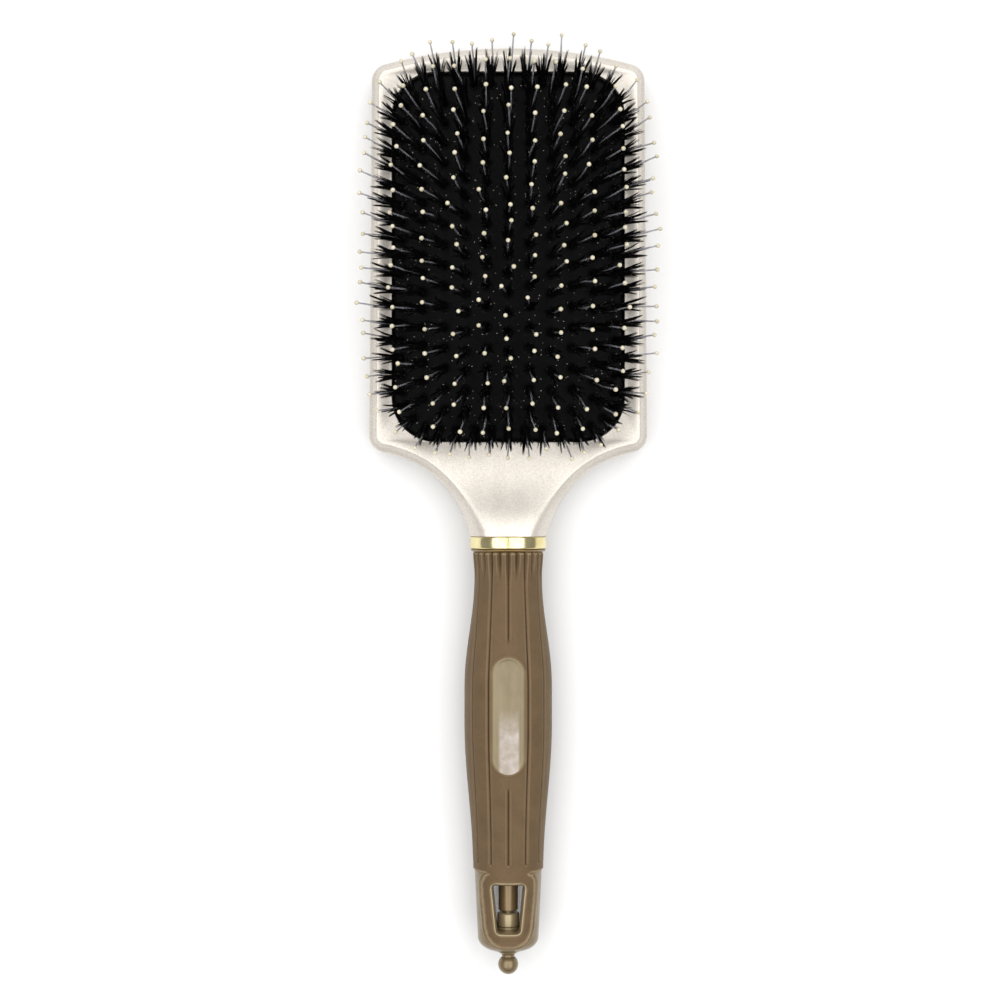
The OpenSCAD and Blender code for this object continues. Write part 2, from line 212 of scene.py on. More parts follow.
class Paint:
    """A procedural material, with the record's slot that it stands for: constant shader
    sockets, then patterns added by its methods."""

    def __init__(self, name, slot=None, **sockets):
        self.slot = slot or name
        self.mat = bpy.data.materials.new(name)
        self.mat.use_nodes = True
        self.tree = self.mat.node_tree
        self.shader = self.tree.nodes["Principled BSDF"]
        for key, value in sockets.items():
            socket = key.replace("_", " ").title().replace("Ior", "IOR")
            self.shader.inputs[socket].default_value = value
        self.where = self.node("ShaderNodeTexCoord").outputs["Object"]
        self.normal = None

    def node(self, kind, inputs=(), **settings):
        """A new node. Each of its inputs is a value, or another node's output."""
        made = self.tree.nodes.new(kind)
        for key, value in settings.items():
            setattr(made, key, value)
        for key, value in dict(inputs).items():
            if isinstance(value, bpy.types.NodeSocket):
                self.tree.links.new(value, made.inputs[key])
            else:
                made.inputs[key].default_value = value
        return made

    def noise(self, size_mm, detail=3.0, stretch=(1, 1, 1)):
        """Noise whose grains are about size_mm across."""
        place = self.node("ShaderNodeMapping", {"Vector": self.where, "Scale": stretch})
        return self.node("ShaderNodeTexNoise", {
            "Vector": place.outputs["Vector"], "Scale": 1 / (size_mm * MM), "Detail": detail,
            "Roughness": 0.55}).outputs["Fac"]

    def flakes(self, size_mm):
        """A random value for each small cell, as metal flakes in lacquer have."""
        cells = self.node("ShaderNodeTexVoronoi",
                          {"Vector": self.where, "Scale": 1 / (size_mm * MM)})
        return self.node("ShaderNodeSeparateColor",
                         {"Color": cells.outputs["Color"]}).outputs["Red"]

    def ramp(self, value, *stops):
        """Colours by value, from (place, colour as seen) stops."""
        made = self.node("ShaderNodeValToRGB", {"Fac": value})
        elements = made.color_ramp.elements
        while len(elements) < len(stops):
            elements.new(0.5)
        for element, (place, colour) in zip(elements, stops):
            element.position = place
            element.color = linear(*colour)
        return made.outputs["Color"]

    def blend(self, share, a, b, mode="MIX"):
        return self.node("ShaderNodeMix", {0: share, 6: a, 7: b}, data_type="RGBA",
                         blend_type=mode).outputs[2]

    def spread(self, value, low, high, from_low=0.0, from_high=1.0):
        return self.node("ShaderNodeMapRange", {
            "Value": value, "From Min": from_low, "From Max": from_high, "To Min": low,
            "To Max": high}).outputs["Result"]

    def standing_out(self, low, high):
        """0 to 1 as the mesh stands out by low to high, as mark_edges measures it."""
        out = self.node("ShaderNodeAttribute", attribute_name="convexity").outputs["Fac"]
        return self.spread(out, 0.0, 1.0, low, high)

    def edges(self):
        """0 on flat and hollow places, 1 on sharp outer edges, where wear and a painted highlight
        show.
        """
        return self.standing_out(0.03, 0.2)

    def groove_shade(self):
        """0 on flat and outer places, 1 in tight grooves, where shade is painted in."""
        return self.standing_out(-0.02, -0.16)

    def glint_specks(self, size_mm, share):
        """1 in a sparse share of small cells, elsewhere 0; used for painted glints."""
        return self.spread(self.flakes(size_mm), 0.0, 1.0, 1 - share, 1 - share + 0.0002)

    def colour(self, socket):
        self.tree.links.new(socket, self.shader.inputs["Base Color"])

    def rough(self, value, low, high):
        self.tree.links.new(self.spread(value, low, high), self.shader.inputs["Roughness"])

    def relief(self, value, height_mm, strength=1.0):
        """Bump from a value, on top of any relief before it."""
        under = {"Normal": self.normal} if self.normal else {}
        self.normal = self.node("ShaderNodeBump", {
            "Height": value, "Strength": strength, "Distance": height_mm * MM,
            **under}).outputs["Normal"]
        self.tree.links.new(self.normal, self.shader.inputs["Normal"])
        return self


def pearl_lacquer():
    p = Paint("pearl_lacquer", metallic=0.62, coat_weight=0.25, coat_roughness=0.2, ior=1.5)
    tone = p.ramp(p.noise(14, 2), (0.3, (0.82, 0.79, 0.75)), (0.7, (0.86, 0.83, 0.79)))
    flake = p.ramp(p.flakes(0.22), (0.0, (0.73, 0.70, 0.66)), (0.5, (0.85, 0.82, 0.78)),
                   (1.0, (0.95, 0.94, 0.91)))
    p.colour(p.blend(0.38, tone, flake))
    p.rough(p.noise(0.5, 2), 0.40, 0.52)
    p.relief(p.flakes(0.22), 0.012, 0.35)
    return p.relief(p.noise(2.5, 2), 0.02, 0.25)


def polished_gold():
    p = Paint("polished_gold", metallic=1.0, ior=1.5)
    p.colour(p.ramp(p.noise(3, 2), (0.3, (0.86, 0.80, 0.57)), (0.7, (0.92, 0.88, 0.70))))
    p.rough(p.noise(1.2, 3, (1, 6, 1)), 0.13, 0.24)
    return p.relief(p.noise(0.35, 2, (1, 8, 1)), 0.004, 0.3)


def bronze_plastic(name="bronze_plastic", low=(0.41, 0.345, 0.235), high=(0.50, 0.435, 0.32),
                   worn_and_lit=(0.66, 0.60, 0.47)):
    p = Paint(name, "bronze_plastic", metallic=0.5, coat_weight=0.25, coat_roughness=0.2, ior=1.5)
    tone = p.ramp(p.noise(4, 3), (0.3, low), (0.7, high))
    flake = p.ramp(p.flakes(0.16), (0.0, [0.8 * c for c in low]),
                   (1.0, [min(1, 1.25 * c) for c in high]))
    # Sharp outer edges turn lighter: partly wear, partly a painted highlight.
    p.colour(p.blend(p.edges(), p.blend(0.3, tone, flake), linear(*worn_and_lit)))
    p.rough(p.noise(0.6, 3), 0.27, 0.40)
    return p.relief(p.noise(0.12, 2), 0.006, 0.5)


def soft_grip():
    p = Paint("soft_grip", sheen_weight=0.15, sheen_roughness=0.45, ior=1.45,
              sheen_tint=linear(0.80, 0.74, 0.62), specular_ior_level=0.3)
    tone = p.ramp(p.noise(5, 4), (0.3, (0.335, 0.26, 0.17)), (0.7, (0.385, 0.305, 0.205)))
    speck = p.ramp(p.noise(0.18, 2), (0.35, (0.30, 0.24, 0.16)), (0.65, (0.46, 0.38, 0.275)))
    # Painted shade: the tight grooves are darkened to a deep brown.
    groove_shaded = p.blend(p.groove_shade(), p.blend(0.3, tone, speck), linear(0.20, 0.135, 0.08))
    # Sharp outer edges turn lighter: partly wear, partly a painted highlight.
    p.colour(p.blend(p.edges(), groove_shaded, linear(0.54, 0.46, 0.35)))
    p.rough(p.noise(0.8, 3), 0.56, 0.72)
    return p.relief(p.noise(0.14, 3), 0.02, 0.6)


def clear_gel():
    p = Paint("clear_gel", coat_weight=0.5, coat_roughness=0.3, ior=1.45)
    olive = p.ramp(p.noise(5, 3, (1, 0.4, 1)), (0.35, (0.42, 0.365, 0.235)),
                   (0.65, (0.49, 0.43, 0.30)))
    # The pale pearly tone is a painted reflection of the overhead light.
    reflection_tone = p.ramp(p.noise(2.2, 3), (0.3, (0.60, 0.55, 0.50)), (0.7, (0.72, 0.68, 0.655)))
    place = p.node("ShaderNodeSeparateXYZ", {"Vector": p.where}).outputs
    # The painted reflection lies in the lower middle of the inlay.
    low = p.spread(place["Y"], 0.8, 0.0, -132.5 * MM, -125.5 * MM)
    right = p.spread(place["X"], 1.0, 0.0, 2.6 * MM, 3.2 * MM)
    left = p.spread(place["X"], 0.0, 1.0, -2.9 * MM, -2.1 * MM)
    reflection_share = p.blend(1.0, p.blend(1.0, low, right, "MULTIPLY"), left, "MULTIPLY")
    p.colour(p.blend(reflection_share, olive, reflection_tone))
    p.rough(p.noise(2, 2), 0.28, 0.42)
    return p.relief(p.noise(3, 2), 0.03, 0.25)


def black_rubber():
    p = Paint("black_rubber", ior=1.5, specular_ior_level=0.07)
    black = p.ramp(p.noise(1.5, 4), (0.3, (0.022, 0.022, 0.023)), (0.8, (0.05, 0.05, 0.052)))
    # Painted glints: sparse pale specks on the black rubber.
    p.colour(p.blend(p.glint_specks(0.24, 0.005), black, linear(0.66, 0.63, 0.58)))
    p.rough(p.noise(0.7, 3), 0.45, 0.7)
    return p.relief(p.noise(0.3, 3), 0.03, 0.5)


def black_plastic():
    p = Paint("black_plastic", ior=1.5)
    p.colour(p.ramp(p.noise(2, 3), (0.3, (0.05, 0.05, 0.05)), (0.7, (0.10, 0.10, 0.10))))
    p.rough(p.noise(0.5, 3), 0.4, 0.6)
    return p.relief(p.noise(0.25, 2), 0.01, 0.4)


def bristle_hair():
    p = Paint("bristle", ior=1.5, coat_weight=0.05, coat_roughness=0.3, specular_ior_level=0.22)
    # The ramp's pale top stop is painted glints on the hairs.
    black = p.ramp(p.noise(0.6, 2, (1, 1, 0.2)), (0.40, (0.03, 0.03, 0.033)),
                   (0.72, (0.08, 0.075, 0.08)), (0.80, (0.36, 0.32, 0.28)))
    # Painted glints: sparse pale specks on the hairs.
    p.colour(p.blend(p.glint_specks(0.24, 0.010), black, linear(0.70, 0.67, 0.62)))
    p.rough(p.noise(0.5, 2), 0.30, 0.5)
    return p.relief(p.noise(0.1, 2), 0.01, 0.4)


def nylon_pin():
    p = Paint("nylon_pin", ior=1.52, transmission_weight=0.82, coat_weight=0.4, coat_roughness=0.1)
    p.colour(p.ramp(p.noise(1.2, 2, (1, 1, 0.3)), (0.3, (0.80, 0.80, 0.84)),
                    (0.7, (0.90, 0.90, 0.93))))
    p.rough(p.noise(0.6, 2), 0.15, 0.3)
    return p.relief(p.noise(0.4, 2), 0.006, 0.3)


def ball_tip():
    p = Paint("ball_tip", "nylon_pin", ior=1.5, coat_weight=0.5, coat_roughness=0.15,
              subsurface_weight=0.2, subsurface_radius=(1.0 * MM, 0.8 * MM, 0.5 * MM))
    p.colour(p.ramp(p.noise(2.0, 2), (0.35, (0.70, 0.67, 0.56)), (0.65, (0.82, 0.79, 0.70))))
    p.rough(p.noise(0.3, 2), 0.22, 0.38)
    return p.relief(p.noise(0.2, 2), 0.01, 0.3)


PEARL = pearl_lacquer()
GOLD = polished_gold()
BRONZE = bronze_plastic()
FLANGE_GOLD = bronze_plastic("flange_gold", (0.36, 0.28, 0.14), (0.44, 0.35, 0.19),
                             (0.52, 0.42, 0.25))
# Painted shade: a darker copy of the bronze for the socket tube, deep in the window.
SHADED_SOCKET_BRONZE = bronze_plastic("shaded_socket_bronze", (0.30, 0.235, 0.15), (0.38, 0.31, 0.21),
                               (0.5, 0.42, 0.30))
GRIP = soft_grip()
GEL = clear_gel()
BLACK_RUBBER = black_rubber()
BLACK_PLASTIC = black_plastic()
BRISTLE = bristle_hair()
NYLON = nylon_pin()
BALL = ball_tip()


# ---- Pieces ----

def placed(name, data):
    made = bpy.data.objects.new(name, data)
    bpy.context.scene.collection.objects.link(made)
    return made


def mark_edges(mesh):
    """Stores how far each vertex stands out from its neighbours, for the wear and painted highlight
    on outer edges and the painted shade in grooves.
    """
    at, normal = np.empty((2, len(mesh.vertices), 3), np.float32)
    ends = np.empty((len(mesh.edges), 2), np.int32)
    mesh.vertices.foreach_get("co", at.ravel())
    mesh.vertex_normals.foreach_get("vector", normal.ravel())
    mesh.edges.foreach_get("vertices", ends.ravel())
    way = at[ends[:, 1]] - at[ends[:, 0]]
    way /= np.maximum(np.linalg.norm(way, axis=1), 1e-9)[:, None]
    out = np.zeros(len(at))
    uses = np.zeros(len(at))
    for side, sign in ((0, -1), (1, 1)):
        np.add.at(out, ends[:, side], sign * np.sum(normal[ends[:, side]] * way, axis=1))
        np.add.at(uses, ends[:, side], 1)
    made = mesh.attributes.new("convexity", "FLOAT", "POINT")
    made.data.foreach_set("value", (out / np.maximum(uses, 1)).astype(np.float32))


def piece(name, verts_mm, faces, paint, body, node, sharp=35.0, recalc=True):
    """A smooth-shaded mesh piece, made in millimetres, that stands for a CAD node. With no body,
    it is left unattached."""
    mesh = bpy.data.meshes.new(name)
    mesh.from_pydata((np.asarray(verts_mm, float) * MM).tolist(), [], [list(f) for f in faces])
    if recalc:
        work = bmesh.new()
        work.from_mesh(mesh)
        bmesh.ops.remove_doubles(work, verts=work.verts, dist=0.004 * MM)
        bmesh.ops.recalc_face_normals(work, faces=work.faces)
        work.to_mesh(mesh)
        work.free()
    mesh.validate()
    mesh.shade_smooth()
    mesh.set_sharp_from_angle(angle=math.radians(sharp))
    if recalc:
        mark_edges(mesh)
    mesh.materials.append(paint.mat)
    made = placed(name, mesh)
    if body:
        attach(made, body)
    if node:
        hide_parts(node)
    return made


def ring_faces(rows, n, start=0, closed=True):
    """Quads between successive rows of n points."""
    last = n if closed else n - 1
    return [(start + k * n + i, start + k * n + (i + 1) % n,
             start + (k + 1) * n + (i + 1) % n, start + (k + 1) * n + i)
            for k in range(rows - 1) for i in range(last)]


def closed_tube(rows, n, start=0):
    """Quads between successive rings of n points, and a face across each end."""
    last = start + (rows - 1) * n
    return ring_faces(rows, n, start) + [tuple(range(start, start + n))[::-1],
                                         tuple(range(last, last + n))]


def around_axis(r, theta, y):
    """Points at radius r and angle theta from the front, about the handle's axis."""
    r, theta, y = np.broadcast_arrays(r, theta, y)
    return np.stack([r * np.sin(theta), y, AXIS_Z + r * np.cos(theta)], axis=-1)


def turned(name, profile, paint, body, node, segments=96, sharp=35.0):
    """A solid of revolution about the handle's axis from (radius, y) points."""
    theta = turn(segments)
    rows = [around_axis(r, theta, y) for r, y in profile]
    faces = ring_faces(len(profile), segments)
    return piece(name, np.concatenate(rows), faces, paint, body, node, sharp)


def round_over(r0, y0, r1, y1, n=5):
    """Quarter-ellipse of (radius, y) points from one to the other, starting along the radius."""
    a = np.linspace(0, np.pi / 2, n)
    return [(mix(r0, r1, math.sin(t)), mix(y0, y1, 1 - math.cos(t))) for t in a]


# ---- Paddle ----

# Points along the neck's part of the paddle's edge.
NECK = 56


def paddle_edges():
    """Right-hand edge of the paddle, from the ring to the top, with the matching points on the
    cushion opening."""
    start = np.array([RING_R, NECK_END_Y])
    neck = bezier([start, start + RING_ARM * np.array([math.sin(RING_ANGLE), math.cos(RING_ANGLE)]),
                   HIP - HIP_ARM * np.array([math.sin(HIP_ANGLE), math.cos(HIP_ANGLE)]), HIP],
                  np.linspace(0, 1, 200))
    low = (HEAD_HALF_LOW - CORNER_R, HIP[1] + CORNER_R * math.cos(HIP_TURN))
    arch = (0.0, HEAD_TOP_Y - TOP_ARCH_R)
    top_x = HEAD_HALF_TOP - CORNER_R
    top = (top_x, arch[1] + math.sqrt((TOP_ARCH_R - CORNER_R) ** 2 - top_x ** 2))
    corner_end = math.degrees(math.acos(top_x / (TOP_ARCH_R - CORNER_R)))
    middle = math.degrees(math.acos(0.5 / TOP_ARCH_R))
    side_low = arc(low, CORNER_R, -78, 0)
    side_top = arc(top, CORNER_R, 0, corner_end)
    outer = [neck, side_low, np.array([side_low[-1], side_top[0]]), side_top,
             arc(arch, TOP_ARCH_R, corner_end, middle)]
    cx, cy = OPEN_X - OPEN_R, OPEN_Y - OPEN_R
    bottom = arc((cx, -cy), OPEN_R, -90, 0)
    crown = arc((cx, cy), OPEN_R, 0, 90)
    inner = [np.concatenate([[[0.5, -OPEN_Y]], bottom[:14]]), bottom[13:47],
             np.concatenate([bottom[46:], crown[:14]]), crown[13:47],
             np.concatenate([crown[46:], [[0.5, OPEN_Y]]])]
    counts = (NECK, 22, 70, 22, 44)

    def joined(paths):
        return np.concatenate([resample(path, n, path is paths[-1])
                               for path, n in zip(paths, counts)])

    return joined(outer), joined(inner)


EDGE, OPENING = paddle_edges()
SIDE = len(EDGE)


def edge_normals():
    slope = np.gradient(EDGE, axis=0)
    n = np.column_stack([slope[:, 1], -slope[:, 0]])
    n /= np.linalg.norm(n, axis=1)[:, None]
    n[0] = (1, 0)
    n[-1] = (0, 1)
    return n


EDGE_N = edge_normals()


# The rim's shoulder widens down the neck, from the paddle's width to this share of it.
SHOULDER = 2.6
WIDEN = 1 + 0.75 * np.clip((-60 - EDGE[:, 1]) / (-60 - NECK_END_Y), 0, 1) ** 2


def inset(d):
    """The right-hand edge moved inwards by d, more where the shoulder is wider."""
    return EDGE - (d * WIDEN)[:, None] * EDGE_N


CREST = inset(SHOULDER)[:NECK]


def neck_share(y):
    """0 on the paddle, rising to 1 at the neck's end."""
    return smooth((HIP[1] - y) / (HIP[1] - NECK_END_Y))


def seam_height(y):
    return mix(SEAM_Z, AXIS_Z, neck_share(y))


def neck_section(u, share):
    """Height share across the neck's front: a gently crowned middle as far as share of the half
    width, then a shoulder that rolls down to the side, with the line between them softened."""
    rim, crown = 0.86, 0.075

    def height(v):
        q = np.sqrt(np.clip((1 - v) / (1 - share), 0, 1))
        shoulder = rim * q ** 2 + 2 * 0.65 * rim * q * (1 - q)
        return np.where(v < share, rim + crown * (1 - (v / share) ** 2), shoulder)

    soft = 0.07 * np.clip((1 - u) / (1 - share), 0, 1)
    return sum(height(np.abs(u + k * soft)) for k in (-1, -0.5, 0, 0.5, 1)) / 5


def shell_height(xy, flat_z, upper):
    """Height of a shell half at points, where the flat paddle would have height flat_z."""
    y = xy[:, 1]
    s, seam = neck_share(y), seam_height(y)
    width = np.interp(y, EDGE[:NECK, 1], EDGE[:NECK, 0])
    u = np.clip(np.abs(xy[:, 0]) / width, 0, 1)
    half = mix(HEAD_T - SEAM_Z if upper else SEAM_Z, RING_R, s)
    if upper:
        share = np.clip(np.interp(y, CREST[:, 1], CREST[:, 0]) / width, 0.3, 0.93)
        return mix(flat_z, seam + half * neck_section(u, share), s)
    return mix(flat_z, seam - half * np.sqrt(1 - u ** 2), s)


def both_sides(xyz):
    """The right-hand points, then their mirror images, as one closed ring."""
    return np.concatenate([xyz, xyz[::-1] * np.array([-1, 1, 1])])


def wall_profile(reach, foot_z, head_z, power, steps):
    """(inset, height) pairs round the paddle's edge, from the seam to the face."""
    a = np.linspace(0, np.pi / 2, steps)
    return [(reach * (1 - math.cos(t) ** (2 / power)) + 0.0015 * k,
             mix(foot_z, head_z, math.sin(t) ** (2 / power))) for k, t in enumerate(a)]


def edge_ring(d, z, upper):
    xy = inset(d)
    return both_sides(np.column_stack([xy, shell_height(xy, z, upper)]))


def seam_lip(rise):
    """The edge of a shell half at the seam, rolled in a little, so that the two halves' joint
    shows as a fine line."""
    seam = seam_height(EDGE[:, 1])
    return [both_sides(np.column_stack([inset(d), seam + dz]))
            for d, dz in ((0.22, 0.0), (0.06, 0.35 * rise), (0.0, rise))]


SHOULDER_LOW_Z = 12.9
FACE_LOW_Z = 14.1


def rim_profile():
    """(inset, height) pairs of the front frame's rim: the wall, a slanted shoulder with a slight
    hollow, and the crest."""
    wall = wall_profile(0.35, SEAM_Z, SHOULDER_LOW_Z, 2.2, 10)
    slant = [(mix(0.36, SHOULDER - 0.35, t),
              mix(SHOULDER_LOW_Z, HEAD_T - 0.2, t) - 0.14 * math.sin(math.pi * t) ** 2 + 0.05 * t)
             for t in np.linspace(0, 1, 12)[1:]]
    return wall + slant + [(SHOULDER - 0.15, HEAD_T - 0.04), (SHOULDER, HEAD_T)]


def face_z(d):
    """Height of the flat face inside the crest: level, then sloping down to the opening."""
    return mix(HEAD_T, FACE_LOW_Z, float(smooth((d - SHOULDER) / 4.8)))


def front_frame():
    """Rim, sloping face, neck face and the wall down into the cushion opening."""
    rings = seam_lip(0.2) + [edge_ring(d, z, True) for d, z in rim_profile()[1:]]
    rings += [edge_ring(d, face_z(d), True) for d in (2.8, 3.1, 3.4)]
    start = inset(3.4)
    for f in np.concatenate([np.linspace(0, 1, 20)[1:-1], [0.975]]):
        xy = mix(start, OPENING, f)
        rings.append(both_sides(np.column_stack([xy, shell_height(xy, face_z(3.4 + 4 * f), True)])))
    for f, drop in ((0.988, 0.03), (0.996, 0.12), (1.0, 0.3), (1.0, FACE_LOW_Z - LEDGE_Z)):
        xy = mix(start, OPENING, f)
        rings.append(both_sides(np.column_stack([xy, np.full(SIDE, FACE_LOW_Z - drop)])))
    faces = ring_faces(len(rings), 2 * SIDE)
    return piece("paddle_front", np.concatenate(rings), faces, PEARL, "root",
                 "head_front_frame", 50)


def back_shell():
    """Edge and flat back of the paddle, and the round back of the neck."""
    profile = wall_profile(4.6, SEAM_Z, 0.0, 2.4, 16)
    rings = seam_lip(-0.2) + [edge_ring(d, z, False) for d, z in profile[1:]]
    verts = np.concatenate(rings)
    faces = ring_faces(len(rings), 2 * SIDE)
    last = inset(profile[-1][0])
    columns = 32
    share = np.linspace(1, -1, columns + 1)
    grid = []
    for k in range(SIDE):
        xy = np.column_stack([last[k, 0] * share, np.full(columns + 1, last[k, 1])])
        grid.append(np.column_stack([xy, shell_height(xy, 0.0, False)]))
    start = len(verts)
    verts = np.concatenate([verts] + grid)
    faces += ring_faces(SIDE, columns + 1, start, closed=False)
    return piece("paddle_back", verts, faces, PEARL, "root", "head_back_shell", 50)


# ---- Cushion ----

def dome_z(x, y):
    return DOME_EDGE_Z + DOME_H * (1 - (x / PAD_X) ** 2) * (1 - (y / PAD_Y) ** 2)


def pad_loop():
    cx, cy = PAD_X - OPEN_R, PAD_Y - OPEN_R
    corners = [arc((sx * cx, sy * cy), OPEN_R, a, a + 90, 20)
               for sx, sy, a in ((1, 1, 0), (-1, 1, 90), (-1, -1, 180), (1, -1, 270))]
    loop = np.concatenate(corners + [corners[0][:1]])
    return resample(loop, 280)


def cushion_membrane():
    """Domed rubber membrane with a rolled edge, closed underneath."""
    loop = pad_loop()
    n = len(loop)
    rows = []
    for f in np.linspace(1, 0.04, 46):
        xy = loop * f
        near = 1 - min(1.0, (1 - f) / 0.035)
        roll = 0.7 * (1 - math.sqrt(1 - near ** 2))
        rows.append(np.column_stack([xy, dome_z(xy[:, 0], xy[:, 1]) - roll]))
    under = [r - np.array([0, 0, MEMBRANE_T]) for r in rows[::-1]]
    skirt = np.column_stack([loop, np.full(n, LEDGE_Z)])
    verts = np.concatenate(rows[::-1] + [skirt] + under[::-1])
    faces = closed_tube(2 * len(rows) + 1, n)
    made = piece("cushion_membrane", verts, faces, BLACK_RUBBER, None, "cushion_pad", 60)
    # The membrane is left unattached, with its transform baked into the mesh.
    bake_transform(made)
    return made


def tuft_places():
    """(x, y) of the tufts in each group: nine columns, then the border's sides and ends."""
    groups = {}
    run_x, run_y = FIELD_X - BORDER_R, FIELD_Y - BORDER_R
    for c in range(1, 10):
        x = (c - 5) * COLUMN_PITCH
        reach = run_y + math.sqrt((BORDER_R - BORDER_GAP) ** 2 - max(0, abs(x) - run_x) ** 2)
        count = COLUMN_TUFTS - (0 if c % 2 == 1 else 1)
        groups[f"col_{c}"] = [(x, y) for y in np.linspace(-reach, reach, count)]
    for name, side in (("left", -1), ("right", 1)):
        groups[name] = [(side * FIELD_X, y) for y in np.linspace(-run_y, run_y, SIDE_TUFTS)]
    for name, side in (("top", 1), ("bottom", -1)):
        groups[name] = [(x, side * FIELD_Y) for x in np.linspace(-run_x, run_x, END_TUFTS)]
        for flip in (-1, 1):
            for a in np.radians([22.5, 45, 67.5]):
                groups[name].append((flip * (run_x + BORDER_R * math.cos(a)),
                                     side * (run_y + BORDER_R * math.sin(a))))
    return groups


TUFTS = tuft_places()


def outward(v, half):
    return math.copysign((abs(v) / half) ** 1.5, v)


def tufts_of(group):
    """(foot, direction) of each tuft in a group, as the CAD model places them."""
    places = []
    for x, y in TUFTS[group]:
        ax = math.radians(LEAN_X * outward(x, FIELD_X) * (1 - (y / OPEN_Y) ** 4))
        ay = math.radians(LEAN_Y * outward(y, FIELD_Y) * (1 - (x / OPEN_X) ** 4))
        way = np.array([math.sin(ax), math.cos(ax) * math.sin(ay), math.cos(ax) * math.cos(ay)])
        places.append((np.array([x, y, dome_z(x, y)]), way))
    return places


def across(way):
    """Two unit directions square to way."""
    side = np.cross(way, [0.0, 1.0, 0.0])
    side /= np.linalg.norm(side)
    return side, np.cross(way, side)


HAIRS = 60
LOCKS = 8
HAIR_R = 0.175
TUFT_FOOT_R = 0.85
LOCK_REACH = (1.9, 3.1)
LOCK_LENGTH = (0.86, 1.10)
STRAY = 0.17
PIN_DRIFT = 0.65
PIN_BOW = 0.3
PIN_LENGTH = (0.945, 1.0)
PIN_ROOT_R, PIN_TIP_R = 0.30, 0.21
BALL_SIZE = (0.93, 1.04)
BALL_ROWS, BALL_SIDES = 9, 14
RNG = np.random.default_rng(7)


def tapered_rods(centres, radii, sides):
    """Verts and faces of many tapered rods: centres is (rods, rings, 3), radii (rods, rings)."""
    rods, rings, _ = centres.shape
    way = centres[:, -1] - centres[:, 0]
    way /= np.linalg.norm(way, axis=1)[:, None]
    u = np.cross(way, np.array([0.31, 0.95, 0.05]))
    u /= np.linalg.norm(u, axis=1)[:, None]
    v = np.cross(way, u)
    angle = turn(sides)
    circle = (np.cos(angle)[None, :, None] * u[:, None, :]
              + np.sin(angle)[None, :, None] * v[:, None, :])
    verts = centres[:, :, None, :] + radii[:, :, None, None] * circle[:, None, :, :]
    faces = []
    for rod in range(rods):
        faces += closed_tube(rings, sides, rod * rings * sides)
    return verts.reshape(-1, 3), faces


def bristles(group):
    """A group of bristle bundles, whose tapered hairs splay and gather into pointed locks."""
    lines = []
    t = np.array([0.0, 0.35, 0.7, 1.0])
    for foot, way in tufts_of(group):
        u, v = across(way)
        angle = 2.4 * np.arange(LOCKS) + RNG.uniform(0, 2 * np.pi)
        spot = np.sqrt((np.arange(LOCKS) + 0.5) / LOCKS)
        lock_reach = spot * RNG.uniform(*LOCK_REACH, LOCKS)
        lock_length = TUFT_H * RNG.uniform(*LOCK_LENGTH, LOCKS)
        lock = RNG.integers(0, LOCKS, HAIRS)
        out = np.cos(angle)[lock, None] * u + np.sin(angle)[lock, None] * v
        stray = RNG.normal(0, STRAY, (HAIRS, 2))
        stray = stray[:, :1] * u + stray[:, 1:] * v
        root = foot - 0.5 * way + out * (spot[lock] * TUFT_FOOT_R)[:, None] + 1.2 * stray
        tip = (foot + way * (lock_length[lock] - np.abs(RNG.normal(0, 0.9, HAIRS)))[:, None]
               + out * lock_reach[lock][:, None] + 0.8 * stray)
        sag = out * (spot[lock] * 0.5)[:, None]
        lines.append(mix(root[:, None, :], tip[:, None, :], t[None, :, None])
                     - sag[:, None, :] * (np.sin(np.pi * t) ** 2)[None, :, None])
    centres = np.concatenate(lines)
    radii = np.broadcast_to(HAIR_R * np.array([1.0, 0.95, 0.72, 0.16]), centres.shape[:2])
    verts, faces = tapered_rods(centres, radii, 3)
    return piece("bristles_" + group, verts, faces, BRISTLE, "cushion", "tufts_" + group, 60,
                 recalc=False)


def ball_points(centre, r):
    """A small ball as rows of points between its poles."""
    lat = np.linspace(-np.pi / 2 + 0.12, np.pi / 2 - 0.12, BALL_ROWS)
    lon = turn(BALL_SIDES)
    x = np.cos(lat)[:, None] * np.cos(lon)
    y = np.cos(lat)[:, None] * np.sin(lon)
    z = np.broadcast_to(np.sin(lat)[:, None], x.shape)
    return centre + r * np.stack([x, y, z], axis=-1).reshape(-1, 3)


def ball_pins(group):
    """The nylon pins of a group, slightly bowed, and their ball tips."""
    t = np.linspace(0, 1, 7)
    centres, tips = [], []
    for foot, way in tufts_of(group):
        u, v = across(way)
        drift = RNG.normal(0, PIN_DRIFT, 2)
        bow = RNG.normal(0, PIN_BOW, 2)
        start = foot - 1.2 * way
        tip = foot + PIN_H * RNG.uniform(*PIN_LENGTH) * way + drift[0] * u + drift[1] * v
        line = (mix(start, tip, t[:, None])
                + (bow[0] * u + bow[1] * v) * (np.sin(np.pi * t) ** 2)[:, None])
        centres.append(line)
        tips.append(tip)
    centres = np.stack(centres)
    radii = np.broadcast_to(mix(PIN_ROOT_R, PIN_TIP_R, t), centres.shape[:2])
    verts, faces = tapered_rods(centres, radii, 8)
    piece("pin_shafts_" + group, verts, faces, NYLON, "cushion", "pins_" + group, 60,
          recalc=False)
    verts, faces = [], []
    for k, tip in enumerate(tips):
        verts.append(ball_points(tip, BALL_R * RNG.uniform(*BALL_SIZE)))
        faces += closed_tube(BALL_ROWS, BALL_SIDES, k * BALL_ROWS * BALL_SIDES)
    return piece("ball_tips_" + group, np.concatenate(verts), faces, BALL, "cushion",
                 "pins_" + group, 70, recalc=False)


